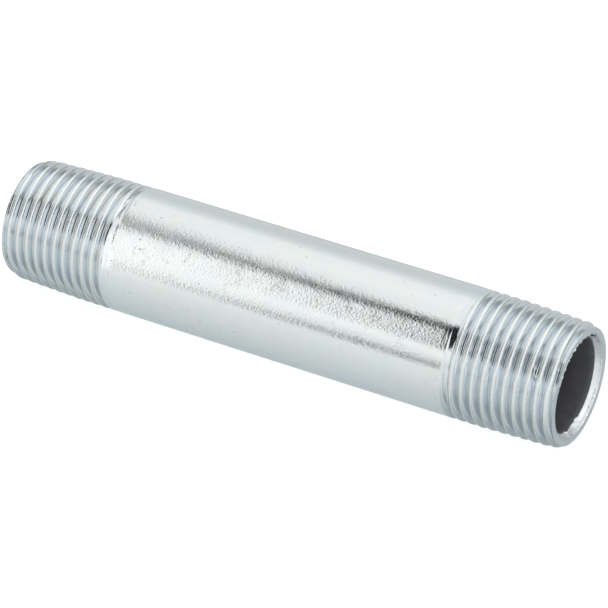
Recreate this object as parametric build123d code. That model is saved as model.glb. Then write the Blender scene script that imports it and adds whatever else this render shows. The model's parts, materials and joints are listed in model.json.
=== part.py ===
from build123d import *
import math
import os

# A short length of zinc-plated steel pipe with a tapered pipe thread cut on each end:
# a half inch by four inch nipple.  It is one piece of metal, so it is one solid in one
# node.  The pipe's axis is X, +Z is up, and the origin is the middle of the pipe.
# All sizes are millimetres, and depths are measured back from an end face.

INCH = 25.4

# the pipe
LENGTH = 4.0 * INCH                     # over both end faces
PIPE_RADIUS = 0.840 * INCH / 2          # outside of the plain barrel
BORE_RADIUS = 0.622 * INCH / 2          # the waterway

# the half inch taper pipe thread, fourteen turns to the inch, right hand on both ends
PITCH = INCH / 14
TAPER = 1 / 32                          # radius gained for each unit of depth
FLANK_ANGLE = 30.0                      # each side of the groove, from square
END_PITCH_RADIUS = 0.75843 * INCH / 2   # pitch cone where it meets the end face
CREST_FLAT = 0.20                       # width left on the top of each turn
ROOT_FLAT = 0.15                        # width of the cutting tool's nose
RUN_OUT_TURNS = 3.5                     # turns that fade as the die's lead lifts away
RIGHT_THREAD_LENGTH = 19.85             # +X face to the last trace of thread
LEFT_THREAD_LENGTH = 20.60              # -X face to the last trace of thread
RIGHT_THREAD_TURN = 156.0               # degrees that the +X thread is turned about X
LEFT_THREAD_TURN = 70.0                 # the same for the -X thread

LAND_DROP = 0.03                        # the lands of the run-out sink this far to meet it

# the cut ends
BEVEL_DEPTH = 1.00                      # bevel that leads the thread in
FACE_RADIUS = 9.80                      # rim of the flat end face
REAM_DEPTH = 1.20                       # the reamer's bevel in the mouth of the bore
REAM_RADIUS = 8.50

FLANK_SLOPE = math.tan(math.radians(FLANK_ANGLE))
THREAD_HEIGHT = (PITCH - CREST_FLAT - ROOT_FLAT) / 2 / FLANK_SLOPE
END_CREST_RADIUS = END_PITCH_RADIUS + (PITCH / 2 - CREST_FLAT) / 2 / FLANK_SLOPE
OVERSHOOT = 0.08                        # how far the cutter stands above the crests
LIFT_OFF = 0.03                         # how far its nose clears the pipe at the end


def crest_radius(depth):
    """Radius of the crest cone at a depth."""
    return END_CREST_RADIUS + TAPER * depth


def end_outline(thread_length):
    """One end of the blank, from its bore to its barrel, as (depth, radius) corners."""
    land_radius = PIPE_RADIUS - LAND_DROP
    cone_depth = (land_radius - END_CREST_RADIUS) / TAPER
    return [
        (REAM_DEPTH, BORE_RADIUS),
        (0, REAM_RADIUS),
        (0, FACE_RADIUS),
        (BEVEL_DEPTH, crest_radius(BEVEL_DEPTH)),
        (cone_depth, land_radius),
        (thread_length, PIPE_RADIUS),
    ]


def pipe_blank():
    """The bevelled and reamed pipe, its ends turned down to the crest cone."""
    half = LENGTH / 2
    right = [(half - depth, radius) for depth, radius in end_outline(RIGHT_THREAD_LENGTH)]
    left = [(depth - half, radius) for depth, radius in end_outline(LEFT_THREAD_LENGTH)]
    corners = [(x, 0, radius) for x, radius in right + left[::-1]]
    return revolve(make_face(Polyline(*corners, close=True)), axis=Axis.X)


def tool_section(nose_radius, depth):
    """The cutting tool's flat-nosed vee, in the plane where its stretch starts."""
    height = THREAD_HEIGHT + OVERSHOOT
    nose = ROOT_FLAT / 2
    shoulder = nose + height * FLANK_SLOPE
    corners = [
        (nose_radius, 0, depth - nose),
        (nose_radius, 0, depth + nose),
        (nose_radius + height, 0, depth + shoulder),
        (nose_radius + height, 0, depth - shoulder),
    ]
    return make_face(Polyline(*corners, close=True))


def groove_stretch(start, travel, nose_radius, slope):
    """Up to a turn of the groove as a solid, starting at the depth start."""
    path = Helix(
        pitch=PITCH,
        height=travel,
        radius=nose_radius,
        center=(0, 0, start),
        cone_angle=math.degrees(math.atan(slope)),
    )
    stretch = sweep(tool_section(nose_radius, start), path=path, is_frenet=True)
    return Rot(Z=360 * start / PITCH) * stretch


def groove_stretches(start, end, nose_radius, slope):
    """The groove from one depth to another, in equal stretches of about one turn."""
    count = round((end - start) / PITCH)
    travel = (end - start) / count
    return [
        groove_stretch(start + i * travel, travel, nose_radius + i * travel * slope, slope)
        for i in range(count)
    ]


def thread_cutters(thread_length):
    """The whole groove of one thread, its end face at Z = 0 and the pipe towards +Z."""
    full_depth = thread_length - RUN_OUT_TURNS * PITCH
    lead_in = (math.ceil(full_depth / PITCH) + 1) * PITCH - full_depth
    first_nose = crest_radius(-lead_in) - THREAD_HEIGHT
    last_nose = crest_radius(full_depth) - THREAD_HEIGHT
    rise = PIPE_RADIUS + LIFT_OFF - last_nose
    run_out_slope = rise / (thread_length - full_depth)
    full = groove_stretches(-lead_in, full_depth, first_nose, TAPER)
    run_out = groove_stretches(full_depth, thread_length, last_nose, run_out_slope)
    return full + run_out


def end_frame(side):
    """Where an end's cutters go: side is 1 for the +X end and -1 for the -X end."""
    return Plane(origin=(side * LENGTH / 2, 0, 0), x_dir=(0, 1, 0), z_dir=(-side, 0, 0)).location


def pipe_nipple():
    """The finished nipple: the blank with a thread cut on each end, turn by turn."""
    nipple = pipe_blank()
    ends = [
        (1, RIGHT_THREAD_LENGTH, RIGHT_THREAD_TURN),
        (-1, LEFT_THREAD_LENGTH, LEFT_THREAD_TURN),
    ]
    for side, thread_length, turn in ends:
        for cutter in thread_cutters(thread_length):
            nipple = nipple - end_frame(side) * Rot(Z=turn) * cutter
    return nipple


def report(shape):
    """Print what a bench check of the finished piece would read."""
    box = shape.bounding_box().size
    steel = (PIPE_RADIUS ** 2 - BORE_RADIUS ** 2) * math.pi * LENGTH
    print("solids", len(shape.solids()), "valid", shape.is_valid)
    print("size", round(box.X, 3), round(box.Y, 3), round(box.Z, 3))
    print("volume", round(shape.volume, 1), "of plain pipe", round(steel, 1))


os.makedirs("parts", exist_ok=True)
body = pipe_nipple()
report(body)
export_step(body, "parts/pipe_nipple.step")
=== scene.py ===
"""A half inch by four inch pipe nipple: zinc plated steel with a taper thread at each end.

The nipple is one closed mesh that stands for the design model's part. Its sizes come from that
part's box and mounts. Meshes are shaped in millimetres and brought to metres as they are finished.
"""

import json
import logging
import math
from dataclasses import dataclass, field
from enum import Enum

import bmesh
import bpy
from mathutils import Matrix, Vector, noise


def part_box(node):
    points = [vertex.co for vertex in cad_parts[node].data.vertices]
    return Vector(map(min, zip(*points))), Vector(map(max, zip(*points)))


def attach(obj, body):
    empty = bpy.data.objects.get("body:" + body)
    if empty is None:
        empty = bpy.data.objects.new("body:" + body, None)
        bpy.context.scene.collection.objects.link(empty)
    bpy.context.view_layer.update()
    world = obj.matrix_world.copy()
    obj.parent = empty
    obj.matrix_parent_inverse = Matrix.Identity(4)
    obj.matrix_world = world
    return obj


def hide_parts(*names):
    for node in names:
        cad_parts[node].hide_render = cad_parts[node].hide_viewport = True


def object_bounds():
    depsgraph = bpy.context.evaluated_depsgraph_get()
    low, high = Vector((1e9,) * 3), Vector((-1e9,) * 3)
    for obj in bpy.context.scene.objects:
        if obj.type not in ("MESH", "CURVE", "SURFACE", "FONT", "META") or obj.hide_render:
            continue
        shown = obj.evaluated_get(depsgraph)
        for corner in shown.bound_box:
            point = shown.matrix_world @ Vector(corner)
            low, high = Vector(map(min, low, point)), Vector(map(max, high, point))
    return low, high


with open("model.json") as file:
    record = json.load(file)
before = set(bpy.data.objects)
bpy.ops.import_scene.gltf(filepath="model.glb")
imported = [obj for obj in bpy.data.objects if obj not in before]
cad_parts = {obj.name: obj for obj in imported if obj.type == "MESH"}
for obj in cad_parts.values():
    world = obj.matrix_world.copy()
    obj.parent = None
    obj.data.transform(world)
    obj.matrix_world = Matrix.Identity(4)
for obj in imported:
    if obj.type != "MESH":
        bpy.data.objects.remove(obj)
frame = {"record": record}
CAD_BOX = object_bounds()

logging.basicConfig(level=logging.INFO, format="%(name)s: %(message)s")
LOG = logging.getLogger("nipple")

NODE = "pipe_nipple"
BODY = "root"
MM = 0.001
INCH = 25.4
TURN = 2.0 * math.pi
GROOVE = "groove"
PHASE = "phase"
BURR = "burr"
Mesh = bmesh.types.BMesh
Vert = bmesh.types.BMVert
Edge = bmesh.types.BMEdge
Socket = bpy.types.NodeSocket
Colour = tuple[float, float, float, float]
WHITE = (1.0, 1.0, 1.0, 1.0)
GAP_BLACK = (0.012, 0.012, 0.014, 1.0)


# ---- small sums


def smooth_step(low: float, high: float, value: float) -> float:
    """Rises smoothly from 0 at low to 1 at high."""
    share = min(1.0, max(0.0, (value - low) / (high - low)))
    return share * share * (3.0 - 2.0 * share)


def soft_min(first: float, second: float, width: float) -> float:
    """The smaller of two lengths, with their crossing rounded over the given width."""
    return (first + second - math.hypot(first - second, width)) / 2.0


def soft_max(first: float, second: float, width: float) -> float:
    """The larger of two lengths, with their crossing rounded over the given width."""
    return (first + second + math.hypot(first - second, width)) / 2.0


def window(value: float, low: float, high: float, fade: float) -> float:
    """1 between low and high, fading to 0 outside them."""
    return smooth_step(low - fade, low, value) * (1.0 - smooth_step(high, high + fade, value))


def layered_noise(seat: Vector, layers: tuple[tuple[float, float], ...]) -> float:
    """Layers of noise added up at a place, each given by its fineness and its height."""
    return sum(height * noise.noise(seat * fineness) for fineness, height in layers)


def angle_between(first: float, second: float) -> float:
    """The signed turn from the second angle to the first, in radians, between -pi and pi."""
    return (first - second + math.pi) % TURN - math.pi


# ---- sizes


class End(Enum):
    """The two ends of the nipple, by the side of the middle that each is on."""

    RIGHT = 1
    LEFT = -1


@dataclass(frozen=True)
class PipeSizes:
    """The pipe's own sizes in millimetres, read from the design model."""

    length: float
    outer_radius: float
    bore_radius: float

    @classmethod
    def from_frame(cls) -> "PipeSizes":
        """Reads the sizes from the part's box and its mounts.

        Returns:
            The pipe's sizes.
        """
        low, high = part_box(NODE)
        mounts = {mount["name"]: mount["dims"] for mount in frame["record"]["mounts"]}
        return cls(
            length=(high.x - low.x) / MM,
            outer_radius=mounts["barrel"]["r_mm"],
            bore_radius=mounts["bore"]["r_mm"],
        )


@dataclass(frozen=True)
class ThreadForm:
    """A die cut American taper pipe thread, 14 to the inch, in millimetres.

    The flank slope is half the groove's widening for each unit of height, and the lead slope is
    how the floor of the last groove tips as the cutter lifts.
    """

    pitch: float = INCH / 14
    taper: float = 1 / 32
    flank_slope: float = math.tan(math.radians(30.0))
    crest_radius_at_face: float = 10.26
    crest_flat: float = 0.44
    root_flat: float = 0.16
    lead_slope: float = 0.11
    crest_rounding: float = 0.14
    root_rounding: float = 0.05

    @property
    def height(self) -> float:
        """From the groove's floor to the crest."""
        return (self.pitch - self.crest_flat - self.root_flat) / 2 / self.flank_slope

    def crest_radius(self, depth: float) -> float:
        """The taper cone that the crests lie on."""
        return self.crest_radius_at_face + self.taper * depth

    def groove_radius(self, depth: float, turns: float, run_out: "RunOut", pipe_radius: float) -> float:
        """The surface that the cutter leaves, before it meets the blank.

        Args:
            depth: Distance from the end face.
            turns: Distance along the axis from a groove's centre, in pitches.
            run_out: How the thread ends.
            pipe_radius: Outside of the pipe.

        Returns:
            Radius from the axis.
        """
        past_centre = (turns - round(turns)) * self.pitch
        centre = depth - past_centre
        clear = pipe_radius + self.crest_rounding
        if centre > run_out.last_groove + 0.5 * self.pitch:
            return clear + self.height
        floor = self.crest_radius(centre) - self.height
        flank = (abs(past_centre) - self.root_flat / 2) / self.flank_slope
        lift_start = run_out.last_groove - run_out.lift_turns * self.pitch
        lift = smooth_step(lift_start, run_out.last_groove, centre)
        lead = self.lead_slope * past_centre
        return soft_max(floor + lift * (clear - floor + lead), floor + flank, self.root_rounding)


@dataclass(frozen=True)
class RunOut:
    """How one end's thread is turned, and how its last groove comes up to the pipe's outside.

    Attributes:
        turn: Where the thread's groove line starts round the pipe, in radians.
        last_groove: Depth of the groove's centre where the cutter has left the pipe.
        lift_turns: Turns that the cutter takes to lift.
    """

    turn: float
    last_groove: float
    lift_turns: float


@dataclass(frozen=True)
class Arc:
    """A stretch of the pipe's round, in degrees.

    Its middle is measured from the front towards the top, and its two ends from its middle.
    """

    middle: float
    start: float
    stop: float
    fade: float


@dataclass(frozen=True)
class Bruise:
    """A stretch of torn crest near the right face, in millimetres.

    The bias is how far its pattern leans towards being bitten.
    """

    arc: Arc = Arc(34.0, -14.0, 9.0, 3.0)
    depths: tuple[float, float] = (3.4, 5.0)
    depth_fade: float = 0.25
    fineness: float = 3.1
    bite: float = 0.16
    bias: float = 0.12


@dataclass(frozen=True)
class MouthEdges:
    """What the saw and the reamer leave round the mouth, in millimetres.

    Attributes:
        burred: The burred side.
        burr_lift: How far the burrs stand off the face.
        burr_push: How far they lean in and out.
        plain_push: How uneven the rest of the mouth is.
        plain_burr: How much of a burr's finish the rest of the mouth takes.
        band: Half the width of the band that is marked, and its fade.
        ragged: The side where the reamed cone ends unevenly.
        ragged_depth: How uneven the cone's inner edge is.
        throat: The height of that edge's band, and its fade.
        saw_marks: Height of the saw's marks on the face.
    """

    burred: Arc = Arc(85.0, -52.0, 40.0, 12.0)
    burr_lift: float = 0.30
    burr_push: float = 0.20
    plain_push: float = 0.04
    plain_burr: float = 0.15
    band: tuple[float, float] = (0.12, 0.16)
    ragged: Arc = Arc(-55.0, -45.0, 45.0, 15.0)
    ragged_depth: float = 0.55
    throat: tuple[float, float] = (0.35, 0.20)
    saw_marks: float = 0.010


# ---- one threaded end


@dataclass
class ThreadedEnd:
    """One end of the nipple, shaped with +Z running into the pipe from the middle of its end face."""

    RIPPLES = ((0.9, 0.012), (2.7, 0.006))
    EDGE_GRAIN = ((1.9, 1.0), (4.1, 0.5))
    BURR_FINENESS = 2.6
    SAW_FINENESS = 1.4
    FACE_SHARES = (0.35, 0.7, 0.9, 1.0)
    CONE_SHARES = (0.08, 0.2, 0.4, 0.6, 0.8, 1.0)
    ROUNDING_SHARES = (0.2, 0.4, 0.6, 0.8, 1.0)
    WELD_GAP = 0.01
    CUT_GAP = 0.002

    end: End
    sizes: PipeSizes
    thread: ThreadForm
    run_out: RunOut
    bruise: Bruise = Bruise()
    mouth: MouthEdges = MouthEdges()
    steps: int = 180
    rows: int = 16
    lead_in_turns: int = 2
    overrun: float = 1.6
    blend_out: tuple[float, float] = (0.6, 0.1)
    face_crown: float = 0.02
    taper_rounding: float = 0.02
    bevel_depth: float = 1.15
    bevel_rounding: float = 0.10
    face_radius: float = 9.75
    face_rounding: float = 0.45
    ream_radius: float = 8.55
    ream_depth: float = 1.10
    mesh: Mesh = field(default_factory=bmesh.new)

    @property
    def span(self) -> float:
        """How far from the end face this piece of the mesh reaches."""
        return self.run_out.last_groove + self.overrun

    def place(self) -> Matrix:
        """The turn and shift from this end's own axes to the row frame.

        Returns:
            The placement, in millimetres.
        """
        side = self.end.value
        across = Vector((0.0, 1.0, 0.0))
        inward = Vector((-side, 0.0, 0.0))
        axes = Matrix((across, inward.cross(across), inward)).transposed().to_4x4()
        return Matrix.Translation((side * self.sizes.length / 2, 0.0, 0.0)) @ axes

    def facing(self, angle: float) -> float:
        """An angle round the pipe in this end's own axes, from one in the row frame.

        Args:
            angle: From -Y towards +Z, seen from +X, in radians.

        Returns:
            The same direction as an angle from this end's X towards its Y.
        """
        ray = Vector((0.0, -math.cos(angle), math.sin(angle)))
        own = self.place().to_3x3().inverted() @ ray
        return math.atan2(own.y, own.x)

    def inside(self, arc: Arc, angle: float) -> float:
        """1 where an angle in this end's own axes is inside an arc, fading to 0 outside it."""
        turned = math.degrees(angle_between(angle, self.facing(math.radians(arc.middle))))
        return window(turned, arc.start, arc.stop, arc.fade)

    def build(self) -> Mesh:
        """Makes the threaded surface, the end face and the reamed mouth.

        Returns:
            The end's open mesh, in the row frame, in millimetres.
        """
        self.sweep_screw()
        self.trim()
        self.shape_thread()
        self.close_face()
        bmesh.ops.transform(self.mesh, matrix=self.place(), verts=self.mesh.verts)
        return self.mesh

    def sweep_screw(self) -> None:
        """Sweeps a line one pitch long round the axis as a screw, so that its rows follow the thread."""
        mesh = self.mesh
        pitch = self.thread.pitch
        start = mesh.verts.new((self.sizes.outer_radius, 0.0, -self.lead_in_turns * pitch))
        stop = mesh.verts.new((self.sizes.outer_radius, 0.0, (1 - self.lead_in_turns) * pitch))
        line = mesh.edges.new((start, stop))
        bmesh.ops.subdivide_edges(mesh, edges=[line], cuts=self.rows - 1)
        bmesh.ops.spin(
            mesh,
            geom=mesh.verts[:] + mesh.edges[:],
            cent=(0.0, 0.0, 0.0),
            axis=(0.0, 0.0, 1.0),
            dvec=(0.0, 0.0, pitch / self.steps),
            angle=TURN,
            steps=self.steps,
            use_duplicate=False,
        )
        one_turn = mesh.verts[:] + mesh.edges[:] + mesh.faces[:]
        for turn in range(1, math.ceil(self.span / pitch) + self.lead_in_turns + 1):
            copy = bmesh.ops.duplicate(mesh, geom=one_turn)["geom"]
            verts = [item for item in copy if isinstance(item, Vert)]
            bmesh.ops.translate(mesh, vec=(0.0, 0.0, pitch * turn), verts=verts)
        bmesh.ops.remove_doubles(mesh, verts=mesh.verts, dist=self.WELD_GAP)

    def trim(self) -> None:
        """Cuts the sweep off at the end face and past the thread, and evens the two cut edges."""
        mesh = self.mesh
        for depth, keep_inner in ((0.0, False), (self.span, True)):
            bmesh.ops.bisect_plane(
                mesh,
                geom=mesh.verts[:] + mesh.edges[:] + mesh.faces[:],
                dist=self.CUT_GAP,
                plane_co=(0.0, 0.0, depth),
                plane_no=(0.0, 0.0, 1.0),
                clear_outer=keep_inner,
                clear_inner=not keep_inner,
            )
            self.even_cut(depth)

    def even_cut(self, depth: float) -> None:
        """Moves the odd points of a cut edge onto the sweep's regular columns.

        Args:
            depth: Where the cut is.
        """
        step = TURN / self.steps
        regular: dict[int, Vert] = {}
        odd: list[tuple[int, Vert]] = []
        for vert in self.mesh.verts:
            if abs(vert.co.z - depth) > 1.5 * self.CUT_GAP:
                continue
            share = math.atan2(vert.co.y, vert.co.x) / step
            column = round(share) % self.steps
            on_column = abs(share - round(share)) < 0.01
            if on_column and column not in regular:
                regular[column] = vert
            else:
                odd.append((column, vert))
        targets = {vert: regular[column] for column, vert in odd}
        bmesh.ops.weld_verts(self.mesh, targetmap=targets)

    def groove_turns(self, angle: float, depth: float) -> float:
        """Distance along the axis from the thread's groove line, in pitches."""
        return depth / self.thread.pitch - (angle - self.run_out.turn) / TURN

    def blank_radius(self, depth: float) -> float:
        """The turned blank: the taper, the pipe's outside and the bevel at the face.

        Args:
            depth: Distance from the end face.

        Returns:
            Radius from the axis.
        """
        tapered = soft_min(self.thread.crest_radius(depth), self.sizes.outer_radius, self.taper_rounding)
        bevel_slope = (self.thread.crest_radius(self.bevel_depth) - self.face_radius) / self.bevel_depth
        return soft_min(tapered, self.face_radius + depth * bevel_slope, self.bevel_rounding)

    def tear(self, angle: float, depth: float, radius: float) -> float:
        """Small hurts: a fine ripple everywhere, and one bruised stretch near the right face.

        Args:
            angle: Round the pipe, in this end's own axes.
            depth: Distance from the end face.
            radius: The unhurt surface.

        Returns:
            What to add to the radius.
        """
        seat = Vector((math.cos(angle) * radius, math.sin(angle) * radius, depth))
        ripple = layered_noise(seat, self.RIPPLES)
        if self.end is not End.RIGHT:
            return ripple
        bruise = self.bruise
        share = self.inside(bruise.arc, angle) * window(depth, *bruise.depths, bruise.depth_fade)
        return ripple - share * bruise.bite * max(0.0, noise.noise(seat * bruise.fineness) + bruise.bias)

    def shape_thread(self) -> None:
        """Moves every point to the thread's surface, and marks its place and depth in the groove."""
        form = self.thread
        layers = self.mesh.verts.layers.float
        groove, phase = (layers.new(name) for name in (GROOVE, PHASE))
        for vert in self.mesh.verts:
            depth = vert.co.z
            angle = math.atan2(vert.co.y, vert.co.x)
            turns = self.groove_turns(angle, depth)
            blank = self.blank_radius(depth)
            cut = form.groove_radius(depth, turns, self.run_out, self.sizes.outer_radius)
            radius = soft_min(blank, cut, form.crest_rounding)
            vert[groove] = min(1.0, max(0.0, (blank - radius) / form.height))
            vert[phase] = math.cos(TURN * turns)
            start, stop = (self.span - before for before in self.blend_out)
            worked = 1.0 - smooth_step(start, stop, depth)
            radius = radius * worked + self.sizes.outer_radius * (1.0 - worked)
            radius += worked * self.tear(angle, depth, radius)
            vert.co.x = radius * math.cos(angle)
            vert.co.y = radius * math.sin(angle)

    def rim(self, depth: float) -> list[Edge]:
        """The open edges that lie at a depth.

        Args:
            depth: Distance from the end face.

        Returns:
            The edges.
        """
        return [
            edge
            for edge in self.mesh.edges
            if edge.is_boundary and all(abs(vert.co.z - depth) < 10.0 * self.CUT_GAP for vert in edge.verts)
        ]

    def draw_in(self, edges: list[Edge], radius: float, depth: float) -> list[Edge]:
        """Extrudes a rim to a new circle.

        Args:
            edges: The rim's open edges.
            radius: The new circle's radius.
            depth: The new circle's depth.

        Returns:
            The new rim's edges.
        """
        grown = bmesh.ops.extrude_edge_only(self.mesh, edges=edges)["geom"]
        for vert in (item for item in grown if isinstance(item, Vert)):
            angle = math.atan2(vert.co.y, vert.co.x)
            vert.co = Vector((radius * math.cos(angle), radius * math.sin(angle), depth))
        return [item for item in grown if isinstance(item, Edge) and item.is_boundary]

    def close_face(self) -> None:
        """Adds the end face with its rounded rim, the burred mouth, the reamed cone and the bore."""
        edges = self.rim(0.0)
        rounding = self.face_rounding
        lowest = self.face_radius - rounding
        for share in self.ROUNDING_SHARES:
            radius = self.face_radius - rounding * (1.0 - math.cos(share * math.pi / 2))
            edges = self.draw_in(edges, radius, -self.face_crown * share)
        for share in self.FACE_SHARES:
            edges = self.draw_in(edges, lowest + (self.ream_radius - lowest) * share, -self.face_crown)
        for share in self.CONE_SHARES:
            radius = self.ream_radius + (self.sizes.bore_radius - self.ream_radius) * share
            edges = self.draw_in(edges, radius, self.ream_depth * share)
        edges = self.draw_in(edges, self.sizes.bore_radius, 2.0 * self.ream_depth)
        self.draw_in(edges, self.sizes.bore_radius, self.span)
        self.roughen_face()

    def roughen_face(self) -> None:
        """Burrs on the upper side of the mouth, a ragged reamed edge below, and saw marks on the ring."""
        burr_layer = self.mesh.verts.layers.float.new(BURR)
        marks = self.mouth
        half_band, band_fade = marks.band
        throat_height, throat_fade = marks.throat
        for vert in self.mesh.verts:
            radius = math.hypot(vert.co.x, vert.co.y)
            if vert.co.z > self.ream_depth + self.WELD_GAP or radius > self.face_radius - self.WELD_GAP:
                continue
            angle = math.atan2(vert.co.y, vert.co.x)
            seat = Vector((math.cos(angle) * 8.0, math.sin(angle) * 8.0, self.end.value * 3.0))
            mouth = window(radius, self.ream_radius - half_band, self.ream_radius + half_band, band_fade)
            throat = window(vert.co.z, self.ream_depth - throat_height, self.ream_depth, throat_fade)
            burr = self.inside(marks.burred, angle)
            grain = layered_noise(seat, self.EDGE_GRAIN)
            peaks = max(-0.2, noise.noise(seat * self.BURR_FINENESS + Vector((5.0, 1.0, 2.0))))
            push = mouth * (marks.plain_push + marks.burr_push * burr) * grain
            vert[burr_layer] = mouth * (marks.plain_burr + (1.0 - marks.plain_burr) * burr)
            vert.co.x += push * math.cos(angle)
            vert.co.y += push * math.sin(angle)
            sawn = marks.saw_marks * noise.noise(vert.co * self.SAW_FINENESS)
            lift = mouth * burr * marks.burr_lift * peaks
            drop = throat * self.inside(marks.ragged, angle) * marks.ragged_depth * grain
            vert.co.z += drop - lift - sawn


# ---- the whole nipple


class Region(Enum):
    """The finishes, in the order of the shell's material slots."""

    BARREL = 0
    THREAD = 1
    CUT_END = 2
    BORE = 3


RUN_OUTS = {
    End.RIGHT: RunOut(turn=math.radians(156.0), last_groove=18.80, lift_turns=0.50),
    End.LEFT: RunOut(turn=math.radians(70.0), last_groove=20.35, lift_turns=0.24),
}


@dataclass
class Nipple:
    """The one piece of the object: pipe, two threads and two reamed ends in one closed mesh.

    The margins are the millimetres that a finish reaches past its own part of the shell.
    """

    LONG_EDGE = 10.0
    BORE_MARGIN = 0.06
    FACE_MARGIN = 0.05
    MOUTH_RADIUS = 9.0
    MOUTH_DEPTH = 2.0
    THREAD_MARGIN = 0.45

    sizes: PipeSizes
    thread: ThreadForm = field(default_factory=ThreadForm)
    barrel_rings: int = 36
    sharp_angle: float = math.radians(38.0)
    shell: bpy.types.Object | None = None

    def build(self) -> bpy.types.Object:
        """Joins the two ends by the barrel and the bore.

        Returns:
            The finished mesh object, in metres, at the origin.
        """
        mesh = bmesh.new()
        for end, run_out in RUN_OUTS.items():
            part = ThreadedEnd(end, self.sizes, self.thread, run_out)
            self.merge(mesh, part.build())
            LOG.info("%s end: thread to %.2f mm", end.name.lower(), run_out.last_groove)
        self.join_ends(mesh)
        bmesh.ops.recalc_face_normals(mesh, faces=mesh.faces)
        self.mark_regions(mesh)
        bmesh.ops.scale(mesh, vec=(MM, MM, MM), verts=mesh.verts)
        data = bpy.data.meshes.new("nipple_shell")
        mesh.to_mesh(data)
        mesh.free()
        data.shade_smooth()
        data.set_sharp_from_angle(angle=self.sharp_angle)
        self.shell = bpy.data.objects.new("nipple_shell", data)
        bpy.context.scene.collection.objects.link(self.shell)
        LOG.info("shell: %d faces", len(data.polygons))
        return self.shell

    @staticmethod
    def merge(mesh: Mesh, part: Mesh) -> None:
        """Adds one mesh to another and frees it.

        Args:
            mesh: The mesh that grows.
            part: The mesh that is added.
        """
        carrier = bpy.data.meshes.new("carrier")
        part.to_mesh(carrier)
        part.free()
        mesh.from_mesh(carrier)
        bpy.data.meshes.remove(carrier)

    def join_ends(self, mesh: Mesh) -> None:
        """Bridges the barrel and the bore, and cuts both into rings.

        Args:
            mesh: Both ends, open towards the middle.
        """
        halfway = (self.sizes.outer_radius + self.sizes.bore_radius) / 2
        open_edges = [edge for edge in mesh.edges if edge.is_boundary]
        for outside in (True, False):
            rims = [edge for edge in open_edges if (edge.verts[0].co.yz.length > halfway) == outside]
            made = bmesh.ops.bridge_loops(mesh, edges=rims)
            long_edges = [edge for edge in made["edges"] if edge.calc_length() > self.LONG_EDGE]
            rings = self.barrel_rings if outside else self.barrel_rings // 3
            bmesh.ops.subdivide_edges(mesh, edges=long_edges, cuts=rings, use_grid_fill=True)

    def mark_regions(self, mesh: Mesh) -> None:
        """Gives each face the number of the finish it takes.

        Args:
            mesh: The closed shell, in millimetres.
        """
        for face in mesh.faces:
            centre = face.calc_center_median()
            side = End.RIGHT if centre.x > 0 else End.LEFT
            depth = self.sizes.length / 2 - abs(centre.x)
            radius = centre.yz.length
            in_mouth = radius < self.MOUTH_RADIUS and depth < self.MOUTH_DEPTH
            region = Region.BARREL
            if radius < self.sizes.bore_radius + self.BORE_MARGIN:
                region = Region.BORE
            elif depth < self.FACE_MARGIN or in_mouth:
                region = Region.CUT_END
            elif depth < RUN_OUTS[side].last_groove + self.THREAD_MARGIN:
                region = Region.THREAD
            face.material_index = region.value

    def fit(self) -> None:
        """Hangs the shell on the frame in place of the design model's part."""
        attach(self.shell, BODY)
        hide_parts(NODE)


# ---- shader sheets


@dataclass(frozen=True)
class Fade:
    """A smooth change from one value to another along some measure.

    Attributes:
        start: Where the change begins.
        stop: Where it ends.
        before: The value up to the start.
        after: The value past the stop.
    """

    start: float
    stop: float
    before: float = 0.0
    after: float = 1.0

    @classmethod
    def out(cls, start: float, stop: float, after: float = 0.0) -> "Fade":
        """A fade that falls from 1."""
        return cls(start, stop, 1.0, after)


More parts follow.
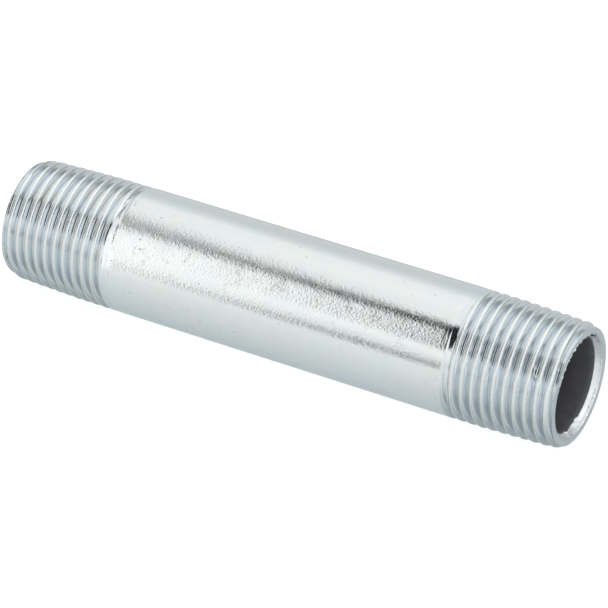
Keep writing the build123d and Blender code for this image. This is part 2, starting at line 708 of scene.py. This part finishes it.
class NodeSheet:
    """Puts nodes on one tree and links them."""

    def __init__(self, tree: bpy.types.NodeTree) -> None:
        """Starts from an empty tree."""
        self.tree = tree
        tree.nodes.clear()

    def add(self, kind: str, inputs: dict | None = None, **settings: object) -> bpy.types.Node:
        """Adds a node.

        Args:
            kind: The node's type.
            inputs: Values or sockets for its inputs, by name or number.
            settings: The node's own properties.

        Returns:
            The node.
        """
        node = self.tree.nodes.new(kind)
        for name, value in settings.items():
            setattr(node, name, value)
        for name, value in (inputs or {}).items():
            self.feed(node.inputs[name], value)
        return node

    def feed(self, socket: Socket, value: object) -> None:
        """Links a socket to an input, or sets the input's value.

        Args:
            socket: The input.
            value: A socket or a plain value.
        """
        if isinstance(value, Socket):
            self.tree.links.new(value, socket)
        else:
            socket.default_value = value

    def sum(self, operation: str, first: object, second: object = 0.0, clamp: bool = False) -> Socket:
        """One Math node's result."""
        inputs = {0: first, 1: second}
        return self.add("ShaderNodeMath", inputs, operation=operation, use_clamp=clamp).outputs[0]

    def product(self, *values: object) -> Socket:
        """Several values multiplied together.

        Args:
            values: Sockets or numbers.

        Returns:
            The product.
        """
        total = values[0]
        for value in values[1:]:
            total = self.sum("MULTIPLY", total, value)
        return total

    def step(self, value: Socket, fade: Fade, unit: float = 1.0) -> Socket:
        """A smooth step over a value, clamped.

        Args:
            value: What the fade runs along.
            fade: The step's two places and values.
            unit: What one unit of the fade's places is in the value.

        Returns:
            The stepped value.
        """
        inputs = {
            "Value": value,
            "From Min": fade.start * unit,
            "From Max": fade.stop * unit,
            "To Min": fade.before,
            "To Max": fade.after,
        }
        return self.add("ShaderNodeMapRange", inputs, interpolation_type="SMOOTHSTEP").outputs["Result"]

    def layer(self, name: str) -> Socket:
        """A value that the mesh carries, by its layer's name."""
        return self.add("ShaderNodeAttribute", attribute_name=name).outputs["Fac"]

    def noise(self, position: Socket, scale: object, detail: float = 2.0, rough: float = 0.5) -> Socket:
        """A noise texture's value."""
        inputs = {"Vector": position, "Scale": scale, "Detail": detail, "Roughness": rough}
        return self.add("ShaderNodeTexNoise", inputs).outputs[0]

    def stretch(self, position: Socket, scale: tuple[float, float, float]) -> Socket:
        """The position, scaled along each axis."""
        return self.add("ShaderNodeMapping", {"Vector": position, "Scale": scale}).outputs["Vector"]

    def blend(self, factor: object, first: object, second: object) -> Socket:
        """Two colours mixed.

        Args:
            factor: The second colour's share.
            first: The first colour.
            second: The second colour.

        Returns:
            The mixed colour.
        """
        node = self.add("ShaderNodeMix", data_type="RGBA", clamp_factor=True)
        for number, value in ((0, factor), (6, first), (7, second)):
            self.feed(node.inputs[number], value)
        return node.outputs[2]

    def ramp(self, value: Socket, stops: list[tuple[float, Colour]]) -> Socket:
        """A colour ramp's colour.

        Args:
            value: What runs along the ramp, 0 to 1.
            stops: Places on the ramp and their colours.

        Returns:
            The colour socket.
        """
        node = self.add("ShaderNodeValToRGB", {0: value})
        elements = node.color_ramp.elements
        while len(elements) < len(stops):
            elements.new(0.5)
        for element, (place, colour) in zip(elements, stops):
            element.position = place
            element.color = colour
        return node.outputs["Color"]

    def bump(self, height: Socket, depth: float, under: Socket | None = None) -> Socket:
        """A Bump node's normal.

        Args:
            height: The surface's height.
            depth: What a height of 1 is in millimetres.
            under: A normal that the bump lies on.

        Returns:
            The bumped normal.
        """
        inputs: dict = {"Height": height, "Distance": depth * MM, "Strength": 1.0}
        if under is not None:
            inputs["Normal"] = under
        return self.add("ShaderNodeBump", inputs).outputs["Normal"]


class GroupSheet(NodeSheet):
    """A shader node group with named inputs and outputs."""

    KINDS = {"value": "NodeSocketFloat", "colour": "NodeSocketColor", "place": "NodeSocketVector"}

    def __init__(self, name: str, inputs: dict[str, str], outputs: dict[str, str]) -> None:
        """Makes the group's tree and sockets.

        Args:
            name: The group's name.
            inputs: Each input's name and kind.
            outputs: Each output's name and kind.
        """
        tree = bpy.data.node_groups.new(name, "ShaderNodeTree")
        super().__init__(tree)
        for flow, sockets in (("INPUT", inputs), ("OUTPUT", outputs)):
            for label, kind in sockets.items():
                tree.interface.new_socket(name=label, in_out=flow, socket_type=self.KINDS[kind])
        self.start = self.add("NodeGroupInput")
        self.stop = self.add("NodeGroupOutput")

    def take(self, name: str) -> Socket:
        """One of the group's inputs, as a socket inside it."""
        return self.start.outputs[name]

    def give(self, name: str, value: Socket) -> None:
        """Sends a value out of the group."""
        self.feed(self.stop.inputs[name], value)


class PlateGroups:
    """The effects that the nipple's finishes share."""

    def __init__(self) -> None:
        """Builds each group once."""
        self.grain = self.build_grain()
        self.tint = self.build_tint()
        self.wear = self.build_wear()

    @staticmethod
    def build_grain() -> bpy.types.NodeTree:
        """The fine pebbled face of plating over drawn steel.

        Returns:
            A group that puts out a height and a cloudy mask.
        """
        sheet = GroupSheet(
            "plate_grain",
            {"Position": "place", "Fineness": "value", "Along": "value"},
            {"Height": "value", "Cloud": "value"},
        )
        position = sheet.take("Position")
        fine = sheet.noise(position, scale=sheet.take("Fineness"), detail=3.0, rough=0.6)
        drawn = sheet.noise(sheet.stretch(position, (0.12, 1.0, 1.0)), scale=2.2, detail=2.0)
        height = sheet.sum("ADD", fine, sheet.product(drawn, sheet.take("Along")))
        cloud = sheet.noise(position, scale=0.22, detail=3.0)
        sheet.give("Height", height)
        sheet.give("Cloud", sheet.step(cloud, Fade(0.35, 0.65)))
        return sheet.tree

    @staticmethod
    def build_tint() -> bpy.types.NodeTree:
        """The faint play of colour in a clear passivated zinc plate.

        Returns:
            A group that puts out a colour.
        """
        sheet = GroupSheet(
            "plate_tint",
            {
                "Position": "place",
                "Base": "colour",
                "Cool": "colour",
                "Warm": "colour",
                "Spread": "value",
                "Amount": "value",
            },
            {"Color": "colour"},
        )
        position, spread, amount = (sheet.take(name) for name in ("Position", "Spread", "Amount"))
        cool_patch = sheet.noise(position, scale=spread, detail=2.0)
        warm_patch = sheet.noise(sheet.stretch(position, (1.7, 1.7, 1.7)), scale=spread, detail=3.0)
        cool = sheet.product(sheet.step(cool_patch, Fade(0.42, 0.62)), amount)
        warm = sheet.product(sheet.step(warm_patch, Fade(0.50, 0.68)), amount)
        colour = sheet.blend(cool, sheet.take("Base"), sheet.take("Cool"))
        sheet.give("Color", sheet.blend(warm, colour, sheet.take("Warm")))
        return sheet.tree

    @staticmethod
    def build_wear() -> bpy.types.NodeTree:
        """Small pits and short handling scratches.

        Returns:
            A group that puts out a mask of each.
        """
        sheet = GroupSheet(
            "handling_wear",
            {"Position": "place", "Pits": "value", "Scratches": "value"},
            {"Pits": "value", "Scratches": "value"},
        )
        position = sheet.take("Position")
        cells = sheet.add("ShaderNodeTexVoronoi", {"Vector": position, "Scale": 0.55, "Randomness": 1.0})
        chosen = sheet.noise(position, scale=0.31, detail=1.0)
        dots = sheet.step(cells.outputs["Distance"], Fade.out(0.05, 0.11))
        sheet.give("Pits", sheet.product(dots, sheet.step(chosen, Fade(0.5, 0.6)), sheet.take("Pits")))
        lines = sheet.noise(sheet.stretch(position, (0.5, 5.5, 5.5)), scale=1.1, detail=1.0)
        where = sheet.noise(position, scale=0.4, detail=2.0)
        off_line = sheet.sum("ABSOLUTE", sheet.sum("SUBTRACT", lines, 0.5))
        thin = sheet.step(off_line, Fade.out(0.004, 0.014))
        kept = sheet.step(where, Fade(0.56, 0.66))
        sheet.give("Scratches", sheet.product(thin, kept, sheet.take("Scratches")))
        return sheet.tree


# ---- finishes


@dataclass(frozen=True)
class MetalFinish:
    """A plated or cut metal face of the nipple. Depths are in millimetres."""

    PIT_BLACK = (0.16, 0.15, 0.14, 1.0)
    SCRATCH_BRIGHT = (0.90, 0.91, 0.92, 1.0)
    # Painted shade for dark specks on the burrs.
    BURR_PAINTED_SHADE = (0.05, 0.05, 0.05, 1.0)
    # Painted shade for the deep parts of the thread's grooves.
    GROOVE_PAINTED_SHADE = (0.50, 0.55, 0.60, 1.0)
    # Painted highlight for the thread's crests.
    CREST_PAINTED_HIGHLIGHT = (0.815, 0.86, 0.835, 1.0)
    ROOT_BROWN = (0.62, 0.57, 0.50, 1.0)
    LEFT_THREAD = Fade.out(-31.0, -29.0)
    PIT_ROUGHNESS = 0.3
    PIT_DEPTH = 0.03

    name: str
    base: Colour
    cool: Colour
    warm: Colour
    tint_spread: float
    roughness: float
    fineness: float
    along: float
    grain_depth: float
    tint_amount: float = 0.5
    roughness_play: float = 0.05
    metallic: float = 1.0
    wave_depth: float = 0.0
    pits: float = 0.0
    scratches: float = 0.0
    stain: float = 0.0
    threaded: bool = False
    crest_blur: float = 0.0
    burr_depth: float = 0.0

    def make(self, groups: PlateGroups) -> bpy.types.Material:
        """Builds the material.

        Args:
            groups: The shared effects.

        Returns:
            The material.
        """
        material = bpy.data.materials.new(self.name)
        material.use_nodes = True
        sheet = NodeSheet(material.node_tree)
        place = sheet.add("ShaderNodeTexCoord").outputs["Object"]
        position = sheet.stretch(place, (1.0 / MM,) * 3)
        inputs = {"Position": position, "Fineness": self.fineness, "Along": self.along}
        grain = sheet.add("ShaderNodeGroup", inputs, node_tree=groups.grain)
        inputs = {"Position": position, "Base": self.base, "Cool": self.cool, "Warm": self.warm}
        inputs |= {"Spread": self.tint_spread, "Amount": self.tint_amount}
        tint = sheet.add("ShaderNodeGroup", inputs, node_tree=groups.tint)
        inputs = {"Position": position, "Pits": self.pits, "Scratches": self.scratches}
        wear = sheet.add("ShaderNodeGroup", inputs, node_tree=groups.wear)
        colour = self.soil_and_paint_light(sheet, position, tint.outputs["Color"], wear)
        cloud = grain.outputs["Cloud"]
        rough = sheet.sum("MULTIPLY_ADD", cloud, self.roughness_play)
        rough.node.inputs[2].default_value = self.roughness
        pitted = sheet.product(wear.outputs["Pits"], self.PIT_ROUGHNESS)
        rough = sheet.sum("ADD", rough, pitted, clamp=True)
        if self.threaded:
            blur = sheet.product(self.crest(sheet, position), self.crest_blur)
            rough = sheet.sum("ADD", rough, blur, clamp=True)
        shader = sheet.add(
            "ShaderNodeBsdfPrincipled",
            {
                "Base Color": colour,
                "Metallic": self.metallic,
                "Roughness": rough,
                "Normal": self.relief(sheet, position, grain, wear),
            },
        )
        sheet.add("ShaderNodeOutputMaterial", {"Surface": shader.outputs["BSDF"]})
        return material

    def soil_and_paint_light(self, sheet: NodeSheet, position: Socket, colour: Socket, wear: bpy.types.Node) -> Socket:
        """Darkens pits, brightens scratches, paints shade as dark specks on the burrs and into the grooves'
        roots, paints a highlight on the crests, and stains some roots brown.

        Args:
            sheet: The material's nodes.
            position: Place on the piece in millimetres.
            colour: The clean plate's colour.
            wear: The wear group's node.

        Returns:
            The colour with its wear, its stains, and its painted shade and highlight.
        """
        colour = sheet.blend(wear.outputs["Pits"], colour, self.PIT_BLACK)
        colour = sheet.blend(wear.outputs["Scratches"], colour, self.SCRATCH_BRIGHT)
        if self.burr_depth:
            burr = sheet.layer(BURR)
            # Painted shade: near-black specks on the burred mouth stand in for the shade among its burrs.
            painted_shade_specks = sheet.step(sheet.noise(position, scale=2.6, detail=2.0), Fade(0.50, 0.58))
            colour = sheet.blend(sheet.product(painted_shade_specks, burr), colour, self.BURR_PAINTED_SHADE)
        if self.threaded:
            groove = sheet.layer(GROOVE)
            # Painted shade: the grooves are darkened towards their roots, standing in for the shade in the
            # thread's hollows.
            root_painted_shade = sheet.step(groove, Fade(0.25, 0.95, 0.0, 0.5))
            colour = sheet.blend(root_painted_shade, colour, self.GROOVE_PAINTED_SHADE)
            # Painted highlight: the crests are blended to a paler colour, standing in for the light they
            # catch.
            colour = sheet.blend(self.crest(sheet, position), colour, self.CREST_PAINTED_HIGHLIGHT)
            axis = sheet.add("ShaderNodeSeparateXYZ", {"Vector": position}).outputs["X"]
            on_left = sheet.step(axis, self.LEFT_THREAD)
            patchy = sheet.step(sheet.noise(position, scale=0.16, detail=3.0), Fade(0.50, 0.66))
            brown = sheet.product(on_left, patchy, sheet.step(groove, Fade(0.3, 0.8)), self.stain)
            colour = sheet.blend(brown, colour, self.ROOT_BROWN)
        return colour

    @staticmethod
    def crest(sheet: NodeSheet, position: Socket) -> Socket:
        """A mask of the threads' crests, with torn edges.

        Args:
            sheet: The material's nodes.
            position: Place on the piece in millimetres.

        Returns:
            The mask.
        """
        phase = sheet.layer(PHASE)
        tear = sheet.product(sheet.sum("SUBTRACT", sheet.noise(position, scale=1.3, detail=3.0), 0.5), 0.9)
        return sheet.step(sheet.sum("ADD", phase, tear), Fade.out(-0.98, -0.52))

    def relief(
        self, sheet: NodeSheet, position: Socket, grain: bpy.types.Node, wear: bpy.types.Node
    ) -> Socket:
        """The bumps: pits and scratches, slow waves of the drawn pipe, the plate's grain and burrs.

        Args:
            sheet: The material's nodes.
            position: Place on the piece in millimetres.
            grain: The grain group's node.
            wear: The wear group's node.

        Returns:
            The bumped normal.
        """
        scored = sheet.product(wear.outputs["Scratches"], 0.25)
        marks = sheet.sum("ADD", wear.outputs["Pits"], scored)
        normal = sheet.bump(sheet.product(marks, -1.0), self.PIT_DEPTH)
        if self.wave_depth:
            wave = sheet.noise(sheet.stretch(position, (0.25, 1.0, 1.0)), scale=0.45, detail=2.0)
            normal = sheet.bump(wave, self.wave_depth, normal)
        normal = sheet.bump(grain.outputs["Height"], self.grain_depth, normal)
        if self.burr_depth:
            burr = sheet.layer(BURR)
            beads = sheet.product(sheet.noise(position, scale=2.2, detail=1.0), burr)
            normal = sheet.bump(beads, self.burr_depth, normal)
        return normal


ZINC_BARREL = MetalFinish(
    name="zinc_barrel",
    base=(0.80, 0.83, 0.82, 1.0),
    cool=(0.76, 0.82, 0.85, 1.0),
    warm=(0.84, 0.83, 0.80, 1.0),
    tint_spread=0.12,
    roughness=0.07,
    fineness=2.3,
    along=0.15,
    grain_depth=0.022,
    wave_depth=0.02,
    pits=0.35,
    scratches=0.6,
)
ZINC_THREAD = MetalFinish(
    name="zinc_thread",
    base=(0.76, 0.81, 0.825, 1.0),
    cool=(0.74, 0.79, 0.84, 1.0),
    warm=(0.78, 0.82, 0.82, 1.0),
    tint_amount=0.6,
    tint_spread=0.3,
    roughness=0.09,
    fineness=2.6,
    along=0.1,
    grain_depth=0.010,
    pits=0.3,
    stain=0.6,
    threaded=True,
    crest_blur=0.24,
)
CUT_END = MetalFinish(
    name="zinc_cut_end",
    base=(0.80, 0.82, 0.82, 1.0),
    cool=(0.70, 0.75, 0.80, 1.0),
    warm=(0.88, 0.86, 0.86, 1.0),
    tint_spread=1.3,
    roughness=0.24,
    roughness_play=0.12,
    fineness=2.4,
    along=0.0,
    grain_depth=0.035,
    pits=0.6,
    burr_depth=0.80,
)
# The bore wall's near-black colour is partly the bore's own dull finish and partly painted shade standing
# in for the dark inside of the pipe.
BORE_WALL = MetalFinish(
    name="bore_wall",
    base=(0.16, 0.16, 0.175, 1.0),
    cool=(0.13, 0.135, 0.15, 1.0),
    warm=(0.18, 0.175, 0.175, 1.0),
    tint_amount=0.6,
    tint_spread=0.3,
    metallic=0.6,
    roughness=0.55,
    roughness_play=0.10,
    fineness=1.4,
    along=0.8,
    grain_depth=0.02,
)


# ---- studio


@dataclass(frozen=True)
class Way:
    """A direction out of the object, as sockets: whole, and its parts along +X, +Y and +Z.

    Its angle round X is in radians, from the front horizon up over the top.
    """

    whole: Socket
    side: Socket
    back: Socket
    up: Socket
    round_axis: Socket

    @classmethod
    def in_world(cls, sheet: NodeSheet) -> "Way":
        """Reads the direction from the world's own coordinates.

        Args:
            sheet: The world's nodes.

        Returns:
            The direction.
        """
        whole = sheet.add("ShaderNodeTexCoord").outputs["Generated"]
        parts = sheet.add("ShaderNodeSeparateXYZ", {"Vector": whole})
        side, back, up = (parts.outputs[name] for name in "XYZ")
        return cls(whole, side, back, up, sheet.sum("ARCTAN2", up, sheet.product(back, -1.0)))


@dataclass(frozen=True)
class RoomPatch:
    """A darker or brighter part of the room, as fades over a direction's parts.

    The turn fades are over its angle round X, in degrees.
    """

    side: tuple[Fade, ...]
    turn: tuple[Fade, ...]
    up: tuple[Fade, ...] = ()

    def mask(self, sheet: NodeSheet, way: Way) -> Socket:
        """Where the patch is.

        Args:
            sheet: The world's nodes.
            way: A direction.

        Returns:
            A mask, 0 outside the patch.
        """
        steps = [sheet.step(way.side, fade) for fade in self.side]
        steps += [sheet.step(way.round_axis, fade, math.radians(1.0)) for fade in self.turn]
        steps += [sheet.step(way.up, fade) for fade in self.up]
        return sheet.product(*steps)


# The dark opening in the front soft box round the lens.
LENS_OPENING = RoomPatch(
    side=(Fade(-0.372, -0.354), Fade.out(0.10, 0.30)),
    turn=(Fade(24.0, 34.0), Fade.out(68.0, 77.0)),
)
# The dim left edge of the floor and of the front soft box.
LEFT_OPENING = RoomPatch(
    side=(Fade.out(-0.59, -0.54),),
    turn=(Fade(26.0, 38.0, 0.30, 0.90), Fade.out(68.0, 80.0)),
)
# The dim foot of the wall at the back right.
REAR_WALL = RoomPatch(
    side=(Fade(-0.27, -0.12, 0.0, 0.30),),
    turn=(Fade(136.0, 152.0),),
    up=(Fade(0.0, 0.05),),
)
# The shaded right part of the floor.
FLOOR_SHADE = RoomPatch(
    side=(Fade(-0.355, -0.32), Fade.out(0.45, 0.60)),
    turn=(Fade(-60.0, -25.0, 0.26, 0.0), Fade(-150.0, -115.0)),
)
# A brighter soft box high on the right, which only the bevels and the reamed cones see.
RIGHT_BOX = RoomPatch(
    side=(Fade(0.36, 0.42), Fade.out(0.60, 0.68)),
    turn=(Fade(72.0, 88.0), Fade.out(132.0, 148.0)),
)
# A brighter panel at the front left, which only the left thread's flanks see.
LEFT_BOX = RoomPatch(
    side=(Fade(-0.57, -0.55), Fade.out(-0.50, -0.48)),
    turn=(Fade(-30.0, 5.0), Fade.out(44.0, 60.0)),
)
# Square to the plane of the seam between the overhead soft boxes.
SEAM_NORMAL = (0.835, 0.262, 0.484)
DARK_PATCHES = (LENS_OPENING, LEFT_OPENING, REAR_WALL, FLOOR_SHADE)
BRIGHT_PATCHES = ((RIGHT_BOX, 1.30), (LEFT_BOX, 1.25))

# Degrees round the pipe's axis, level and coolness: from the back, under it, up the front, over it.
ROOM_TONES = (
    (-180.0, 0.62),
    (-150.0, 0.50, 0.10),
    (-110.0, 0.51, 0.12),
    (-63.0, 0.63, 0.05),
    (-31.0, 0.73, 0.03),
    (-8.0, 0.80, 0.02),
    (12.0, 0.90, 0.01),
    (33.0, 0.97),
    (58.0, 0.96),
    (90.0, 0.86, 0.02),
    (110.0, 0.90, 0.01),
    (135.0, 0.87, 0.02),
    (147.0, 0.70, 0.04),
    (160.0, 0.61, 0.05),
    (176.0, 0.60, 0.05),
)


@dataclass(frozen=True)
class Studio:
    """A pale floor, a soft room of light with its dark gaps, and the camera."""

    FLOOR_GREY = (0.30, 0.30, 0.30, 1.0)
    FLOOR_GLOW = 0.88
    ROOM_STRENGTH = 1.17

    azimuth: float = math.radians(29.41)
    elevation: float = math.radians(33.45)
    distance: float = 0.5945
    aim: tuple[float, float, float] = (0.00145, -0.00022, -0.00028)
    lens_mm: float = 217.1
    floor_size: float = 4.0

    def build(self, lowest: float) -> None:
        """Sets the whole stage.

        Args:
            lowest: The height that the nipple lies on.
        """
        self.lay_floor(lowest)
        self.light_room()
        self.stand_camera()
        bpy.context.scene.view_settings.view_transform = "Standard"

    def lay_floor(self, height: float) -> None:
        """Lays the pale floor, which glows enough to keep the shadow faint.

        Args:
            height: Where the floor is, in metres.
        """
        mesh = bmesh.new()
        bmesh.ops.create_grid(mesh, x_segments=2, y_segments=2, size=self.floor_size / 2)
        bmesh.ops.translate(mesh, vec=(0.0, 0.0, height), verts=mesh.verts)
        data = bpy.data.meshes.new("floor")
        mesh.to_mesh(data)
        mesh.free()
        floor = bpy.data.objects.new("floor", data)
        bpy.context.scene.collection.objects.link(floor)
        material = bpy.data.materials.new("pale_floor")
        material.use_nodes = True
        sheet = NodeSheet(material.node_tree)
        shader = sheet.add(
            "ShaderNodeBsdfPrincipled",
            {
                "Base Color": self.FLOOR_GREY,
                "Roughness": 1.0,
                "Specular IOR Level": 0.0,
                "Emission Color": WHITE,
                "Emission Strength": self.FLOOR_GLOW,
            },
        )
        sheet.add("ShaderNodeOutputMaterial", {"Surface": shader.outputs["BSDF"]})
        data.materials.append(material)
        floor.visible_glossy = False
        LOG.info("floor at %.2f mm", height / MM)

    def light_room(self) -> None:
        """Lights the room by direction: soft boxes, a white floor, and the dark gaps between them."""
        world = bpy.data.worlds.new("soft_room")
        world.use_nodes = True
        sheet = NodeSheet(world.node_tree)
        way = Way.in_world(sheet)
        share = sheet.sum("ADD", sheet.sum("DIVIDE", way.round_axis, TURN), 0.5)
        stops = [((angle + 180.0) / 360.0, self.grey(*tone)) for angle, *tone in ROOM_TONES]
        dark = sheet.sum("MAXIMUM", self.horizon(sheet, way), self.seam(sheet, way))
        for patch in DARK_PATCHES:
            dark = sheet.sum("MAXIMUM", dark, patch.mask(sheet, way))
        colour = sheet.blend(dark, sheet.ramp(share, stops), GAP_BLACK)
        for patch, level in BRIGHT_PATCHES:
            colour = sheet.blend(patch.mask(sheet, way), colour, self.grey(level))
        room = sheet.add("ShaderNodeBackground", {"Color": colour, "Strength": self.ROOM_STRENGTH})
        plain = sheet.add("ShaderNodeBackground", {"Color": WHITE, "Strength": 1.0})
        seen = sheet.add("ShaderNodeLightPath").outputs["Is Camera Ray"]
        mixed = sheet.add("ShaderNodeMixShader", {0: seen, 1: room.outputs[0], 2: plain.outputs[0]})
        sheet.add("ShaderNodeOutputWorld", {"Surface": mixed.outputs[0]})
        bpy.context.scene.world = world

    @staticmethod
    def grey(level: float, cool: float = 0.0) -> Colour:
        """A grey of the room, as a share of its brightest, a little blue where cool is over 0."""
        return (level * (1.0 - cool), level, level * (1.0 + 0.35 * cool), 1.0)

    @staticmethod
    def horizon(sheet: NodeSheet, way: Way) -> Socket:
        """The dark gap between the floor and the soft boxes, which the side walls close.

        Args:
            sheet: The world's nodes.
            way: A direction.

        Returns:
            A mask of the gap.
        """
        level = sheet.step(sheet.sum("ABSOLUTE", way.up), Fade.out(0.075, 0.115))
        thinning = sheet.step(way.up, Fade(0.0, 0.42, 0.40, 0.0))
        haze = sheet.product(thinning, sheet.step(way.up, Fade(-0.1, 0.0)))
        front = sheet.product(
            sheet.step(way.back, Fade.out(-0.1, 0.0)),
            sheet.step(way.side, Fade(-0.43, -0.37)),
            sheet.step(way.side, Fade.out(-0.36, -0.33, 0.1)),
        )
        return sheet.product(sheet.sum("MAXIMUM", level, haze), front)

    @staticmethod
    def seam(sheet: NodeSheet, way: Way) -> Socket:
        """The dark seam between two overhead soft boxes.

        Args:
            sheet: The world's nodes.
            way: A direction.

        Returns:
            A mask of the seam.
        """
        inputs = {0: way.whole, 1: SEAM_NORMAL}
        lean = sheet.add("ShaderNodeVectorMath", inputs, operation="DOT_PRODUCT").outputs["Value"]
        return sheet.product(
            sheet.step(sheet.sum("ABSOLUTE", lean), Fade.out(0.038, 0.060)),
            sheet.step(way.side, Fade(-0.46, -0.37, 0.62, 1.0)),
            sheet.step(way.up, Fade(0.55, 0.7)),
        )

    def stand_camera(self) -> None:
        """Stands the camera at its azimuth and elevation, looking at the aim point."""
        towards = Vector(
            (
                math.sin(self.azimuth) * math.cos(self.elevation),
                -math.cos(self.azimuth) * math.cos(self.elevation),
                math.sin(self.elevation),
            )
        )
        data = bpy.data.cameras.new("camera")
        data.lens = self.lens_mm
        data.clip_start, data.clip_end = 0.01, 50.0
        camera = bpy.data.objects.new("camera", data)
        camera.location = Vector(self.aim) + towards * self.distance
        camera.rotation_mode = "QUATERNION"
        camera.rotation_quaternion = (-towards).to_track_quat("-Z", "Y")
        bpy.context.scene.collection.objects.link(camera)
        bpy.context.scene.camera = camera


# ---- main


def main() -> None:
    """Builds the nipple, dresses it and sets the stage."""
    nipple = Nipple(PipeSizes.from_frame())
    shell = nipple.build()
    groups = PlateGroups()
    for finish in (ZINC_BARREL, ZINC_THREAD, CUT_END, BORE_WALL):
        shell.data.materials.append(finish.make(groups))
        LOG.info("finish: %s", finish.name)
    nipple.fit()
    Studio().build(CAD_BOX[0].z)


if __name__ == "__main__":
    main()
